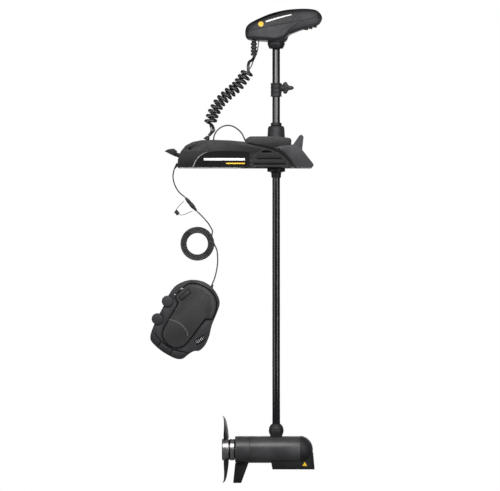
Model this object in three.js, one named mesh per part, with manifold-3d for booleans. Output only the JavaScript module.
// A bow-mount electric trolling motor with a tilting steering housing, a sliding shaft, a two-blade
// propeller and a corded foot pedal. Millimetres, +Z up. Pieces are placed from the point where the axis of
// the upright shaft meets the underside of the mounting base, and the whole is then moved along X, so that
// the origin is the middle of the mounting plate's underside. +X points out over the bow, and -Y is the
// side with the cords.
import * as THREE from 'three';
import { mergeVertices } from 'three/addons/utils/BufferGeometryUtils.js';
import Module from 'manifold-3d';

const wasm = await Module();
wasm.setup();

// Driving dimensions
const GAP = 0.3; // between pieces that touch
const SHAFT_R = 13.5;
const SHAFT_BORE_R = 9.5;
const SHAFT_TOP = 431;
const SHAFT_BOTTOM = -917;
const MOTOR_Z = -971; // height of the propeller's axis
const MOTOR_R = 46.6;
const MOTOR_REAR = -142;
const MOTOR_SEAM = -92;
const MOTOR_FRONT = 82;
const NOSE_TIP = 126.6;
const PROP_REAR = -187;
const PROP_FRONT = -143;
const PROP_HUB_R = 38;
const MOUNT_PLATE = { rear: -330, front: -122, half: 54.6, thick: 8 };
const PLATE_IN = 55; // inner face of a side plate, from the middle
const PLATE_OUT = 72;
const RAMP_IN = 41;
const PIVOT = { x: -70, z: 52 }; // the tilt axis
const PIVOT_R = 6;
const HOUSING_HALF = 40; // half the width of the steering housing
const HOUSING_SPLIT = 70;
const TURRET_TOP = 144;
const SLEEVE_IN = SHAFT_R + 0.4;
const SLEEVE_OUT = 17;
const GEAR_R = 30;
const PINION_R = 9.5;
const COLLAR = { low: 246, high: 292, r: 18.5 };
const CURL_R = 22; // outside of the coiled cable's turns
const CABLE_R = 4.8;
const THIN_R = 2;
const CORD_R = 2.25;
const HANG_Y = -50; // the plane in which the pedal and its cord hang
const COIL = { x: -270.5, z: -261.5, in: 36, out: 58 };
const PEDAL = { x: -312.9, z: -521.3, lean: THREE.MathUtils.degToRad(22.3) };

const plastic = (color, roughness = 0.55) =>
  new THREE.MeshStandardMaterial({ color, roughness, metalness: 0 });
const metal = (color, roughness = 0.35) =>
  new THREE.MeshStandardMaterial({ color, roughness, metalness: 1 });
const BLACK = plastic(0x1c1d1f);
const CHARCOAL = plastic(0x2c2d30);
const RUBBER = plastic(0x141415, 0.8);
const GREY = plastic(0x3a3b3e);
const MOTOR_PAINT = plastic(0x2f3032, 0.4);
const STEEL = metal(0xb9babd);
const ALUMINIUM = metal(0x9a9c9f, 0.45);
const COPPER = metal(0xb06a3a);
const MAGNET = metal(0x4c4d50, 0.6);
const BOARD = plastic(0x1f5a35, 0.6);

const trollingMotor = new THREE.Group();
trollingMotor.position.x = -(MOUNT_PLATE.rear + MOUNT_PLATE.front) / 2;
const pedal = new THREE.Group();
pedal.position.set(PEDAL.x, HANG_Y, PEDAL.z);
pedal.rotation.y = PEDAL.lean;
trollingMotor.add(pedal);

function add(name, geometry, material, group = trollingMotor) {
  const mesh = new THREE.Mesh(geometry, material);
  mesh.name = name;
  group.add(mesh);
}

// Solids: joining and cutting
function toSolid(geometry) {
  const bare = geometry.clone();
  bare.deleteAttribute('normal');
  bare.deleteAttribute('uv');
  const merged = mergeVertices(bare, 1e-4);
  return new wasm.Manifold(
    new wasm.Mesh({
      numProp: 3,
      vertProperties: new Float32Array(merged.attributes.position.array),
      triVerts: new Uint32Array(merged.index.array),
    }),
  );
}

function toGeometry(solid) {
  const mesh = solid.getMesh();
  const geometry = new THREE.BufferGeometry();
  geometry.setAttribute('position', new THREE.BufferAttribute(mesh.vertProperties, 3));
  geometry.setIndex(new THREE.BufferAttribute(mesh.triVerts, 1));
  return geometry;
}

const join = (first, ...others) =>
  toGeometry(others.reduce((all, one) => all.add(toSolid(one)), toSolid(first)));
const cut = (first, ...tools) =>
  toGeometry(tools.reduce((all, one) => all.subtract(toSolid(one)), toSolid(first)));
const common = (first, second) => toGeometry(toSolid(first).intersect(toSolid(second)));

// Shapes
function box(x0, x1, y0, y1, z0, z1) {
  const geometry = new THREE.BoxGeometry(x1 - x0, y1 - y0, z1 - z0);
  return geometry.translate((x0 + x1) / 2, (y0 + y1) / 2, (z0 + z1) / 2);
}

// A cylinder or cone along an axis, from one place on it to another.
function rod(axis, from, to, centre, radius, sides = 24, endRadius = radius) {
  const geometry = new THREE.CylinderGeometry(endRadius, radius, to - from, sides);
  geometry.translate(0, (from + to) / 2, 0);
  if (axis === 'x') geometry.rotateZ(-Math.PI / 2);
  if (axis === 'z') geometry.rotateX(Math.PI / 2);
  const [a, b] = centre;
  if (axis === 'x') return geometry.translate(0, a, b);
  if (axis === 'y') return geometry.translate(a, 0, b);
  return geometry.translate(a, b, 0);
}

// A solid of revolution about the upright axis x = y = 0, from [radius, height] pairs.
function turnedUpright(profile, sides = 24) {
  const points = profile.map(([r, z]) => new THREE.Vector2(r, z));
  return facingOut(new THREE.LatheGeometry(points, sides).rotateX(Math.PI / 2));
}

// A solid of revolution about the propeller's axis, from [x, radius] pairs.
function turnedOnMotor(profile, sides = 32) {
  const points = profile.map(([x, r]) => new THREE.Vector2(r, x));
  const turned = new THREE.LatheGeometry(points, sides).rotateZ(-Math.PI / 2);
  return facingOut(turned.translate(0, 0, MOTOR_Z));
}

const closed = (profile) => [...profile, profile[0]];

// An outline of [x, z] corners, or a ready shape, made solid between two places along Y.
function slab(outline, y0, y1, curveSegments = 6) {
  const shape = Array.isArray(outline)
    ? new THREE.Shape(outline.map(([x, z]) => new THREE.Vector2(x, z)))
    : outline;
  const options = { depth: y1 - y0, bevelEnabled: false, curveSegments };
  return new THREE.ExtrudeGeometry(shape, options).rotateX(Math.PI / 2).translate(0, y1, 0);
}

// A smooth closed outline through a few [x, z] points.
function smoothOutline(points, divisions, tension = 0.5) {
  const through = points.map(([x, z]) => new THREE.Vector3(x, z, 0));
  const curve = new THREE.CatmullRomCurve3(through, true, 'catmullrom', tension);
  return curve.getPoints(divisions).slice(0, -1).map((p) => [p.x, p.y]);
}

// The same outline moved outwards, square to its edge, by a distance. The corners run clockwise.
function widened(outline, distance) {
  const count = outline.length;
  return outline.map(([x, z], i) => {
    const [x0, z0] = outline[(i + count - 1) % count];
    const [x1, z1] = outline[(i + 1) % count];
    const out = new THREE.Vector2(z0 - z1, x1 - x0).setLength(distance);
    return [x + out.x, z + out.y];
  });
}

function circleShape(radius, sides) {
  const corners = [];
  for (let i = 0; i < sides; i += 1) {
    const angle = (2 * Math.PI * i) / sides;
    corners.push(new THREE.Vector2(radius * Math.cos(angle), radius * Math.sin(angle)));
  }
  return new THREE.Shape(corners);
}

// A tube along a smooth curve through [x, y, z] points.
function tube(points, radius, steps, sides = 8) {
  const path = new THREE.CatmullRomCurve3(points.map((p) => new THREE.Vector3(...p)));
  const options = { extrudePath: path, steps, bevelEnabled: false };
  return new THREE.ExtrudeGeometry(circleShape(radius, sides), options);
}

function volumeOf(geometry) {
  const p = geometry.attributes.position;
  const index = geometry.index;
  const [a, b, c] = [new THREE.Vector3(), new THREE.Vector3(), new THREE.Vector3()];
  let sum = 0;
  for (let i = 0; i < index.count; i += 3) {
    a.fromBufferAttribute(p, index.getX(i));
    b.fromBufferAttribute(p, index.getX(i + 1));
    c.fromBufferAttribute(p, index.getX(i + 2));
    sum += a.dot(b.cross(c)) / 6;
  }
  return sum;
}

function facingOut(geometry) {
  if (volumeOf(geometry) < 0) geometry.setIndex([...geometry.index.array].reverse());
  return geometry;
}

// A closed skin over rings of Vector3 points, with a flat fan on the first and last ring.
function loft(rings) {
  const count = rings[0].length;
  const index = [];
  for (let i = 0; i < rings.length - 1; i += 1) {
    for (let j = 0; j < count; j += 1) {
      const a = i * count + j;
      const b = i * count + ((j + 1) % count);
      index.push(a, b, b + count, a, b + count, a + count);
    }
  }
  const last = (rings.length - 1) * count;
  for (let j = 1; j < count - 1; j += 1) {
    index.push(0, j + 1, j, last, last + j, last + j + 1);
  }
  const geometry = new THREE.BufferGeometry();
  const positions = rings.flat().flatMap((p) => [p.x, p.y, p.z]);
  geometry.setAttribute('position', new THREE.Float32BufferAttribute(positions, 3));
  geometry.setIndex(index);
  return facingOut(geometry);
}

const MOTOR_AXIS = [0, MOTOR_Z];

function mountingBase() {
  const holeR = 4;
  const holes = [-310, -230, -150].flatMap((x) =>
    [-35, 35].map((y) => rod('z', -1, 10, [x, y], holeR, 16)),
  );
  const { rear, front, half, thick } = MOUNT_PLATE;
  add('base_plate', cut(box(rear, front, -half, half, 0, thick), ...holes), ALUMINIUM);

  // The side plates carry the whole base between the deck and the tilt pin.
  const outline = [
    [-339, 0], [-337, 27], [-328, 53], [-311, 74], [-287, 86.6], [-256, 92.8], [-215, 93.8],
    [-159, 91.8], [-111, 87.6], [-63, 79], [-28, 72], [-4, 67.6], [23.5, 51.4], [47.6, 27.3], [63, 0],
  ];
  const SLOT_DEPTH = 4;
  const slots = [
    [[-67, 26.5], [17, 26.5], [17, 32], [-67, 32]],
    [[-78, 8], [31, 8], [31, 13.5], [-78, 13.5]],
    [[-52, 50], [-12, 50], [-17, 57], [-44, 57]],
  ];
  const screwPlace = [-296, 64];
  const screwR = 5;
  for (const [name, side] of [['near', -1], ['far', 1]]) {
    const span = (from, to) => (side < 0 ? [-to, -from] : [from, to]);
    const pinHole = rod('y', ...span(PLATE_IN - 1, 66.3), [PIVOT.x, PIVOT.z], PIVOT_R + GAP, 20);
    const recesses = slots.map((corners) => slab(corners, ...span(PLATE_OUT - SLOT_DEPTH, 80)));
    const screwHole = rod('y', ...span(PLATE_OUT - SLOT_DEPTH, 80), screwPlace, screwR, 20);
    const plate = slab(outline, ...span(PLATE_IN, PLATE_OUT));
    add(`side_plate_${name}`, cut(plate, pinHole, screwHole, ...recesses), BLACK);
  }

  // The cover closes the top and the rear end between the side plates.
  const crown = [
    [-339, 0], [-337, 27], [-328, 53], [-311, 74], [-287, 86.6], [-256, 92.8], [-215, 93.8], [-184, 92.8],
    [-184, 88], [-215, 88.8], [-255, 87.8], [-285, 81.8], [-307, 70], [-323, 51], [-332, 26], [-331, 0],
  ];
  const leverSlot = box(-345, -315, -14, 14, 27, 66);
  add('top_cover', cut(slab(crown, -54.7, 54.7), leverSlot), BLACK);

  const pin = rod('y', -66, 66, [PIVOT.x, PIVOT.z], PIVOT_R, 20);
  add('pivot_pin', pin, STEEL);
}

// Each ramp is one arm of the fork that the stowed motor slides up.
function motorRamps() {
  const tongue = [[14, 2], [63, 2], [86, 2], [86, 60], [60, 74], [14, 66]];
  const outer = [
    [64.5, 0], [122, 0], [127, 5], [126, 12], [88, 60], [93, 104], [86, 112], [78, 108], [57, 78],
    [30, 75], [1, 70], [25, 53], [49, 29],
  ];
  for (const [name, side] of [['near', -1], ['far', 1]]) {
    const span = (from, to) => (side < 0 ? [-to, -from] : [from, to]);
    const inner = slab(tongue, ...span(RAMP_IN, PLATE_IN - GAP));
    const arm = [[66, 0], ...outer.slice(1, 8), [57, 78], [57, 40]];
    const bridge = slab(arm, ...span(RAMP_IN, PLATE_IN + 2));
    const skin = slab(outer, ...span(PLATE_IN + GAP, PLATE_OUT));
    add(`ramp_${name}`, join(skin, bridge, inner), CHARCOAL);
  }
}

// The lever at the rear end frees the tilt lock when a foot presses it.
function stowLever() {
  const arm = slab([[-352, 41], [-326, 32], [-322, 40], [-330, 49], [-348, 55]], -9, 9);
  const pad = slab([[-384, 57], [-350, 40], [-342, 58], [-352, 66], [-372, 64]], -22, 22);
  add('stow_lever', join(arm, pad), CHARCOAL);
}

// The steering housing swings on the tilt pin between the side plates.
function steeringHousing() {
  const shape = new THREE.Shape();
  shape.moveTo(50, 16);
  shape.lineTo(52, 98);
  shape.lineTo(44, 102);
  shape.lineTo(0, 107.5);
  shape.lineTo(-92, 107);
  shape.lineTo(-108, 96);
  shape.lineTo(-107, 60);
  shape.absarc(PIVOT.x, PIVOT.z, 38, Math.PI, 1.5 * Math.PI, false);
  shape.lineTo(50, 14);
  const whole = () => slab(shape, -HOUSING_HALF, HOUSING_HALF);
  const cavity = box(-60, 46, -36, 36, 20, 99);
  const below = box(-200, 200, -60, 60, -50, HOUSING_SPLIT + GAP);
  const above = box(-200, 200, -60, 60, HOUSING_SPLIT, 300);
  const shaftHole = rod('z', 0, 200, [0, 0], SLEEVE_OUT + 0.5);
  const pinHole = rod('y', -60, 60, [PIVOT.x, PIVOT.z], PIVOT_R + GAP, 20);
  const turret = rod('z', 98, TURRET_TOP - 6, [0, 0], 31, 32, 28.5);
  const rim = rod('z', TURRET_TOP - 6, TURRET_TOP, [0, 0], 28.5, 32, 25);
  add('drive_housing', cut(whole(), above, cavity, shaftHole, pinHole), CHARCOAL);
  add('housing_cover', cut(join(whole(), turret, rim), below, cavity, shaftHole), BLACK);

  const pinionX = -(GEAR_R + PINION_R + 0.4);
  const can = rod('z', 44, 86, [pinionX, 0], 16, 24);
  const end = rod('z', 86, 94, [pinionX, 0], 9, 24);
  add('steering_motor', join(can, end), STEEL);
  const wheel = rod('z', 28, 38, [pinionX, 0], PINION_R, 20);
  const stub = rod('z', 38, 43.6, [pinionX, 0], 4, 12);
  add('steer_pinion', join(wheel, stub), STEEL);

  // The drive sleeve turns the shaft and lets it slide through. Its flange is the lower bushing.
  const sleeve = closed([
    [SLEEVE_IN, -34], [SHAFT_R + 3, -34], [SHAFT_R + 4.5, -16], [31, -13], [31, -1], [SLEEVE_OUT, -1],
    [SLEEVE_OUT, 145], [19, 146], [19, 153], [SLEEVE_OUT, 156], [SLEEVE_IN, 156],
  ]);
  add('drive_sleeve', turnedUpright(sleeve), BLACK);
  const gear = closed([[SLEEVE_OUT + GAP, 28], [GEAR_R, 28], [GEAR_R, 38], [SLEEVE_OUT + GAP, 38]]);
  add('steer_gear', turnedUpright(gear, 36), STEEL);
}

function shaftAndCollar() {
  const shaft = closed([
    [SHAFT_BORE_R, SHAFT_BOTTOM], [SHAFT_R, SHAFT_BOTTOM], [SHAFT_R, SHAFT_TOP], [SHAFT_BORE_R, SHAFT_TOP],
  ]);
  add('shaft_tube', turnedUpright(shaft), BLACK);

  const bore = SHAFT_R + GAP;
  const coupling = turnedUpright([
    [0, -945], [14, -945], [16, -935], [20, -924], [25.2, -912], [25.7, -900], [22.5, -890], [16, -883],
    [bore, -883], [bore, SHAFT_BOTTOM - 0.5], [0, SHAFT_BOTTOM - 0.5],
  ]);
  const motorBody = rod('x', -150, 100, MOTOR_AXIS, MOTOR_R + GAP, 32);
  add('shaft_coupling', cut(coupling, motorBody), RUBBER);

  const { low, high, r } = COLLAR;
  const lip = r + 1.5;
  const ribs = [];
  for (let i = 0; i < 4; i += 1) {
    const z = low + (i * (high - low - 3)) / 3;
    ribs.push([r, z], [lip, z + 0.5], [lip, z + 2.5], [r, z + 3]);
  }
  const ring = turnedUpright(closed([[bore, low], ...ribs, [bore, high]]));
  const boss = cut(
    rod('x', 10, 28, [0, 276], 12, 16),
    rod('z', 200, 300, [0, 0], bore, 24),
  );
  const screwHole = rod('x', 0, 40, [0, 276], 4.3, 12);
  add('depth_collar', cut(join(ring, boss), screwHole), CHARCOAL);
  const screw = rod('x', SHAFT_R + 0.6, 34, [0, 276], 4, 12);
  const wingPoints = [
    [29, 276], [33, 296], [40, 300], [45, 291], [60, 280], [61, 273], [47, 266], [40, 255], [32, 257],
  ];
  const wing = smoothOutline(wingPoints, 27);
  add('collar_knob', join(screw, slab(wing, -5, 5)), CHARCOAL);
}

function lowerUnit() {
  const inner = MOTOR_R - 3;
  const tubeProfile = closed([
    [MOTOR_SEAM, inner], [MOTOR_FRONT, inner], [MOTOR_FRONT, MOTOR_R], [MOTOR_SEAM, MOTOR_R],
  ]);
  add('motor_housing', turnedOnMotor(tubeProfile), MOTOR_PAINT);

  const seam = MOTOR_SEAM - GAP;
  const bell = closed([
    [seam, inner], [-136, inner], [-136, 15], [-122, 15], [-122, 11.3], [-134, 11.3], [-134, 6],
    [MOTOR_REAR, 6], [MOTOR_REAR, 42], [MOTOR_REAR + 4, MOTOR_R], [seam, MOTOR_R],
  ]);
  add('rear_bell', turnedOnMotor(bell), MOTOR_PAINT);

  // The nose is half an ellipsoid with a hollow back.
  const nose = (grow, steps) => {
    const back = MOTOR_FRONT + GAP - grow;
    const points = [];
    for (let i = 0; i <= steps; i += 1) {
      const angle = (Math.PI / 2) * (i / steps);
      const x = MOTOR_FRONT + GAP + (NOSE_TIP - MOTOR_FRONT + grow) * Math.sin(angle);
      points.push([x, Math.max(0, (MOTOR_R + grow) * Math.cos(angle))]);
    }
    return [[back, 0], [back, MOTOR_R + grow], ...points.slice(grow === 0 ? 1 : 0)];
  };
  const noseSolid = turnedOnMotor(nose(0, 8));
  const noseHollow = rod('x', 80, 104, MOTOR_AXIS, 30, 24);
  add('nose_cone', cut(noseSolid, noseHollow), MOTOR_PAINT);

  // The shroud under the nose holds the sonar transducer.
  const sides = [[-20, -1004], [-13, -1038], [132, -1038], [127, -980], [118, -975], [70, -990]];
  const shroud = slab(sides, -25, 25);
  const body = rod('x', -60, 83, MOTOR_AXIS, MOTOR_R + GAP, 32);
  add('sonar_shroud', cut(shroud, body, turnedOnMotor(nose(GAP + 0.1, 8))), BLACK);

  const fin = [
    [-142, -1008], [-92.6, -1008], [-96, -1020], [-120.7, -1087], [-148.7, -1087], [-141.8, -1020],
  ];
  add('skeg', cut(slab(fin, -3.5, 3.5), rod('x', -160, -60, MOTOR_AXIS, MOTOR_R + GAP, 32)), BLACK);

  // Two curved field magnets line the tube, above and below the armature.
  const arc = closed([[-60, 38], [50, 38], [50, inner - GAP], [-60, inner - GAP]]);
  const magnetRing = () => turnedOnMotor(arc);
  const half = (z0, z1) => box(-70, 60, -34, 34, MOTOR_Z + z0, MOTOR_Z + z1);
  add('magnet_upper', common(magnetRing(), half(12, 50)), MAGNET);
  add('magnet_lower', common(magnetRing(), half(-50, -12)), MAGNET);
}

function propellerAndArmature() {
  // Blade stations: radius, chord, thickness, place along the axis and pitch in degrees.
  const stations = [
    [30, 44, 8, -172, 22], [52, 50, 6.5, -173, 19], [76, 46, 5, -174, 15], [96, 37, 4, -176, 12],
    [108, 26, 3, -179, 10], [115.6, 10, 2, -185, 8],
  ];
  const RING = 10;
  const blade = () =>
    loft(
      stations.map(([radius, chord, thick, x, degrees]) => {
        const pitch = THREE.MathUtils.degToRad(degrees);
        const ring = [];
        for (let i = 0; i < RING; i += 1) {
          const angle = (2 * Math.PI * i) / RING;
          const along = (chord / 2) * Math.cos(angle);
          const across = (thick / 2) * Math.sin(angle);
          const y = along * Math.cos(pitch) - across * Math.sin(pitch);
          const dx = along * Math.sin(pitch) + across * Math.cos(pitch);
          ring.push(new THREE.Vector3(x + dx, y, radius));
        }
        return ring;
      }),
    );
  const upper = blade().translate(0, 0, MOTOR_Z);
  const lower = blade().rotateX(Math.PI).translate(0, 0, MOTOR_Z);
  const hub = turnedOnMotor(closed([
    [PROP_REAR, 14], [PROP_REAR, 35], [PROP_REAR + 3, PROP_HUB_R], [-164, PROP_HUB_R], [-163, 35.5],
    [-160, 35.5], [-159, PROP_HUB_R - 0.5], [PROP_FRONT - 1, PROP_HUB_R - 1], [PROP_FRONT - 1, 5.3],
    [-177, 5.3], [-177, 14],
  ]), 28);
  const shaftHole = rod('x', -176, -140, MOTOR_AXIS, 5.3, 16);
  const nutHole = rod('x', -190, -177, MOTOR_AXIS, 14, 24);
  add('propeller', cut(join(hub, upper, lower), shaftHole, nutHole), BLACK);

  const nut = rod('x', -186, -177.4, MOTOR_AXIS, 9, 6);
  add('prop_nut', cut(nut, rod('x', -190, -170, MOTOR_AXIS, 5.3, 16)), STEEL);
  add('armature_shaft', rod('x', -186.5, 62, MOTOR_AXIS, 5, 16), STEEL);
  const core = closed([[-62, 5.3], [-62, 20], [-52, 36], [42, 36], [52, 20], [52, 5.3]]);
  add('armature', turnedOnMotor(core), COPPER);
}

// The control head is one rounded body that narrows towards its raised front end.
const HEAD_STATIONS = [
  // x, half width, bottom, top
  [-107, 6, 462, 471], [-104, 24, 450, 484], [-96, 36, 442, 495], [-82, 44, 438.6, 504], [-60, 49, 437, 515],
  [-25, 51, 434.5, 530], [8, 49, 436, 539.5], [30, 45, 442, 544], [46, 41, 457, 546.2], [66, 37, 467, 548],
  [90, 33.5, 475.5, 549], [115, 31, 481.5, 548.3], [136, 28, 488.5, 544.6], [149, 22, 496, 536],
  [156, 14, 506, 526], [158.5, 5, 513, 519],
];

function headShape(inset, from, to) {
  const SIDES = 20;
  const SQUARENESS = 0.8;
  const bend = (v) => Math.sign(v) * Math.abs(v) ** SQUARENESS;
  return loft(
    HEAD_STATIONS.slice(from, to).map(([x, half, low, high]) => {
      const ring = [];
      for (let i = 0; i < SIDES; i += 1) {
        const angle = (2 * Math.PI * i) / SIDES;
        const y = (half - inset) * bend(Math.cos(angle));
        const z = (low + high) / 2 + ((high - low) / 2 - inset) * bend(Math.sin(angle));
        ring.push(new THREE.Vector3(x, y, z));
      }
      return ring;
    }),
  );
}

function controlHead() {
  const WALL = 3.5;
  const seam = [[-130, 461.5], [180, 523.5]];
  const over = slab([...seam, [180, 700], [-130, 700]], -80, 80);
  const under = slab([[-130, 300], [180, 300], [180, 523.5 + GAP], [-130, 461.5 + GAP]], -80, 80);
  const hollow = headShape(WALL, 3, 13);
  const keys = [[104, 475.5], [119, 479], [134, 484]];
  const pockets = keys.map(([x, low]) => rod('z', low - 6, low + 12, [x, 0], 7, 16));
  const reliefSeat = rod('z', 435.6, 446, [-77, 0], 11, 16);
  const shaftSeat = rod('z', 433.4, 446, [0, 0], 28, 24);
  const body = join(headShape(0), reliefSeat, shaftSeat);
  add('head_lower_shell', cut(body, over, hollow, ...pockets), CHARCOAL);
  add('head_upper_shell', cut(headShape(0), under, hollow), BLACK);
  keys.forEach(([x, low], i) => {
    add(`head_key_${i + 1}`, rod('z', low, low + 8, [x, 0], 6.6, 14, 5.8), RUBBER);
  });
  add('control_board', box(-70, 20, -30, 30, 462, 464), BOARD);

  const bore = SHAFT_R + GAP;
  add('head_coupler', turnedUpright(closed([
    [bore, 411], [24, 411], [26, 414], [30.5, 426], [31, 433], [bore, 433],
  ])), CHARCOAL);

  // The ribbed sleeve under the rear of the head guards the coiled cable.
  const ribs = [[0, 387], [CABLE_R + 3.5, 387]];
  for (let i = 0; i < 4; i += 1) {
    const z = 388 + i * 12;
    ribs.push([11, z], [11, z + 7], [8.5, z + 8.5], [8.5, z + 10.5]);
  }
  ribs.pop();
  ribs.push([8.5, 435], [0, 435]);
  const relief = turnedUpright(ribs, 16).translate(-77, 0, 0);
  add('head_strain_relief', relief, RUBBER);
}

// Cables between the head, the base and the steering housing
const CURLY_AXIS = [
  [-93.8, -46, 332.6], [-112.5, -47, 306.4], [-135.2, -47.5, 276.7], [-165.3, -48, 251.2],
  [-192.9, -48, 223.6], [-209.1, -47, 198], [-220.8, -46, 172.5], [-227.7, -45, 147.3],
];
const UPPER_LEAD = [
  [-77, 0, 386], [-77, 0, 380], [-81.5, -9, 372], [-90, -23, 364], [-98, -36, 357], [-103, -44, 350],
];
const LOWER_LEAD = [[-209.5, -46, 135.5], [-215.5, -46, 128.5], [-224, -45.5, 119.5], [-231.5, -45, 109.5]];
const SONAR_CABLE = [
  [-60.5, -14, 436.4], [-62, -16, 420], [-65, -20, 402], [-72, -28, 382], [-80, -38, 364], [-88, -46, 344],
];
const HOUSING_CABLE = [
  [-215.6, -47, 94.6], [-212, -47, 112], [-200, -46, 130], [-183, -43, 141], [-166, -40, 144.5],
  [-149, -37, 141.5], [-132, -34, 131], [-120, -31, 118], [-112.5, -30, 103.5],
];

function upperCables() {
  add('curly_cord', tube(CURLY_AXIS, CURL_R, 16, 12), RUBBER);
  add('curly_lead_upper', tube(UPPER_LEAD, CABLE_R, 8), RUBBER);
  add('curly_lead_lower', tube(LOWER_LEAD, CABLE_R, 5), RUBBER);
  add('sonar_cable', tube(SONAR_CABLE, THIN_R, 16), RUBBER);
  add('housing_cable', tube(HOUSING_CABLE, THIN_R + 0.4, 24), RUBBER);
  const cone = new THREE.CylinderGeometry(5.5, 12, 15, 16).rotateX(Math.PI / 2);
  cone.rotateY(THREE.MathUtils.degToRad(30)).translate(-237, -45, 100.2);
  const roof = box(-300, -180, -80, 0, 60, 94.2);
  add('cord_gland', cut(cone, roof), RUBBER);
}

// The pedal's cord: a lead from the base, a plug and socket, and a wound length above the pedal
const PLUG_TOP = [-312.6, HANG_Y, -102.8];
const SOCKET_END = [-272.9, HANG_Y, -149.7];
const PEDAL_LEAD = [
  [-341.5, -60, 8], [-346.5, -60, 0], [-351.5, -59, -13], [-354, -57, -35], [-348, -54, -60],
  [-334, -51, -84], [-313.4, HANG_Y, -101.9],
];
const PEDAL_CORD_UPPER = [
  [-272.1, HANG_Y, -150.6], [-253.6, HANG_Y, -168.5], [-234.3, HANG_Y, -190.5], [-220.5, HANG_Y, -214.2],
  [-212, HANG_Y, -237],
];
const PEDAL_CORD_LOWER = [
  [-208.5, HANG_Y, -258], [-203, HANG_Y, -288.4], [-201, HANG_Y, -318.8], [-204.2, HANG_Y, -348.8],
  [-210.8, HANG_Y, -377], [-222, HANG_Y, -404.5],
];

function pedalCord() {
  add('pedal_lead', tube(PEDAL_LEAD, CORD_R, 14), RUBBER);
  add('pedal_cord_upper', tube(PEDAL_CORD_UPPER, CORD_R, 10), RUBBER);
  add('pedal_cord_lower', tube(PEDAL_CORD_LOWER, CORD_R, 14), RUBBER);
  const { x, z, in: inner, out } = COIL;
  const half = (out - inner) / 2;
  const middle = (out + inner) / 2;
  const section = [];
  for (let i = 0; i < 10; i += 1) {
    const angle = (2 * Math.PI * i) / 10;
    section.push(new THREE.Vector2(middle + half * Math.cos(angle), half * Math.sin(angle)));
  }
  const ring = facingOut(new THREE.LatheGeometry([...section, section[0]], 32));
  add('pedal_cord_coil', ring.translate(x, HANG_Y, z), RUBBER);

  // The plug and the socket lie along one line, with their tapered ends outwards.
  const direction = new THREE.Vector3(...SOCKET_END).sub(new THREE.Vector3(...PLUG_TOP)).normalize();
  const turn = new THREE.Quaternion().setFromUnitVectors(new THREE.Vector3(0, 1, 0), direction);
  const half1 = [[0, 0], [3, 0], [4, 4], [6.5, 16], [6.5, 28], [0, 28]];
  const half2 = [[0, 28.4], [7.2, 28.4], [7.2, 42], [5, 50], [3.4, 61], [0, 61]];
  for (const [name, profile] of [['connector_plug', half1], ['connector_socket', half2]]) {
    const points = profile.map(([r, y]) => new THREE.Vector2(r, y));
    const geometry = new THREE.LatheGeometry(points, 14).applyQuaternion(turn);
    add(name, geometry.translate(...PLUG_TOP), CHARCOAL);
  }
  const cap = new THREE.CylinderGeometry(6.5, 6.5, 16, 14).applyQuaternion(turn);
  const strapLine = [
    [-317, -116], [-330, -128], [-340, -140], [-346, -151], [-342, -158], [-330, -163], [-314, -161],
    [-300, -154], [-287.5, -150],
  ];
  const strap = tube(strapLine.map(([along, up]) => [along, HANG_Y, up]), 1.1, 26, 6);
  add('dust_cap', join(cap.translate(-341, HANG_Y, -155), strap), GREY);
}

// Foot pedal, in its own frame: X across, Z along its length, -Y out of the face under the foot
const PEDAL_OUTLINE = [
  [-60, 113], [-32.5, 133.6], [3.9, 143.4], [37.9, 139], [66.9, 122.8], [87.7, 98.9], [92.4, 68], [92.4, 16],
  [98, -19.6], [97.2, -54.7], [86, -80], [70, -88], [56, -106], [44, -127], [25, -135.8], [-3, -135.4],
  [-40, -129], [-77.5, -114], [-89, -97], [-91.5, -71], [-91, -40], [-86, 16], [-84, 55], [-77, 88],
];
const PLATE_OUTLINE = [
  [-28, 119], [0, 128], [40, 123.5], [71, 102], [84.5, 69.5], [83, 37], [62, 28], [44, -40], [30.7, -79.9],
  [18, -94], [1.4, -101.5], [-24.3, -98.4], [-46, -83.4], [-54, -60], [-47.3, -3], [-41.5, 44], [-53, 54],
  [-57, 70], [-39, 109.7],
];
const KEY_OUTLINES = [
  [[-88, -77], [-68, -91], [-49, -100.5], [-53, -120.5], [-77, -111.5], [-87, -98]],
  [[-46, -102], [-24, -108.5], [-2, -111.5], [-3, -133], [-40, -126.5], [-49, -122]],
  [[1, -111.8], [26, -109.5], [50, -103], [43, -125], [25, -133.4], [0, -133]],
];
const ROUND_BUTTONS = [[-80, 35.2], [-89, -33.9]];
const PLATE_AXIS = { y: -2, z: 15 };
const DIAL = { x: 74, y: 3, z: -46, r: 17, half: 8, turn: THREE.MathUtils.degToRad(34) };

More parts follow.
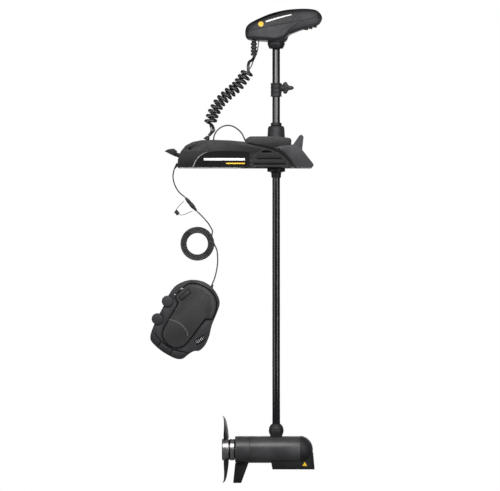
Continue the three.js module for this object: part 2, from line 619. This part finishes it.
function footPedal() {
  const FRONT = -8;
  const BACK = 24;
  const FLOOR = 7;
  const BUTTON_R = 19.2;
  const PLATE_GROOVE = 3.4;
  const outline = smoothOutline(PEDAL_OUTLINE, 72);
  const plate = smoothOutline(PLATE_OUTLINE, 57, 0.4);
  const pads = ROUND_BUTTONS.map((c) => rod('y', FRONT, BACK, c, BUTTON_R - 0.5, 28));
  const recesses = ROUND_BUTTONS.map((c) => rod('y', -40, -4.6, c, BUTTON_R + 0.6, 28));
  const bed = [[-93, -73.5], [-47, -98.8], [0, -109], [62, -99], [50, -140], [-50, -140], [-93, -120]];
  const keyBed = slab(bed, -40, -2);
  const dialSlot = new THREE.BoxGeometry(2 * DIAL.half + 2, 2 * DIAL.r + 3, 2 * DIAL.r + 3);
  dialSlot.rotateY(DIAL.turn).translate(DIAL.x, DIAL.y, DIAL.z);
  const { y: axisY, z: axisZ } = PLATE_AXIS;
  const well = slab(widened(plate, PLATE_GROOVE), -40, FLOOR);
  const shell = cut(join(slab(outline, FRONT, BACK), ...pads), well, keyBed, dialSlot, ...recesses);
  const LUG_TOP = 4.2; // above the pin's axis, so that the plate clears it as it rocks
  const lugs = [-35, 27].map((x) => box(x, x + 8, axisY - LUG_TOP, FLOOR + 1, axisZ - 6, axisZ + 6));
  const pinHole = rod('x', -60, 60, [axisY, axisZ], 3 + GAP, 14);
  add('pedal_base', cut(join(shell, ...lugs), pinHole), CHARCOAL, pedal);

  const rib = box(-24, 24, -8, axisY + 4.5, axisZ - 5, axisZ + 5);
  const barPad = (width, thick, length) =>
    new THREE.BoxGeometry(width, thick, length).rotateY(THREE.MathUtils.degToRad(26)).translate(-32, -18, 78);
  const padRoom = common(barPad(14, 20, 41), box(-80, 20, -40, -13.5, 40, 120));
  add('pedal_plate', cut(join(slab(plate, -18, -7), rib), pinHole, padRoom), BLACK, pedal);
  add('momentary_pad', barPad(13, 5, 40), GREY, pedal);
  add('pedal_hinge_pin', rod('x', -36, 36, [axisY, axisZ], 3, 14), STEEL, pedal);

  ROUND_BUTTONS.forEach((centre, i) => {
    add(`round_button_${i + 1}`, rod('y', -15, -8.4, centre, BUTTON_R, 28), GREY, pedal);
  });
  KEY_OUTLINES.forEach((corners, i) => {
    add(`pedal_key_${i + 1}`, slab(corners, -10.5, -4.2), CHARCOAL, pedal);
  });
  const wheel = new THREE.CylinderGeometry(DIAL.r, DIAL.r, 2 * DIAL.half, 28).rotateZ(Math.PI / 2);
  add('speed_dial', wheel.rotateY(DIAL.turn).translate(DIAL.x, DIAL.y, DIAL.z), GREY, pedal);
}

mountingBase();
motorRamps();
stowLever();
steeringHousing();
shaftAndCollar();
lowerUnit();
propellerAndArmature();
controlHead();
upperCables();
pedalCord();
footPedal();

export default trollingMotor;
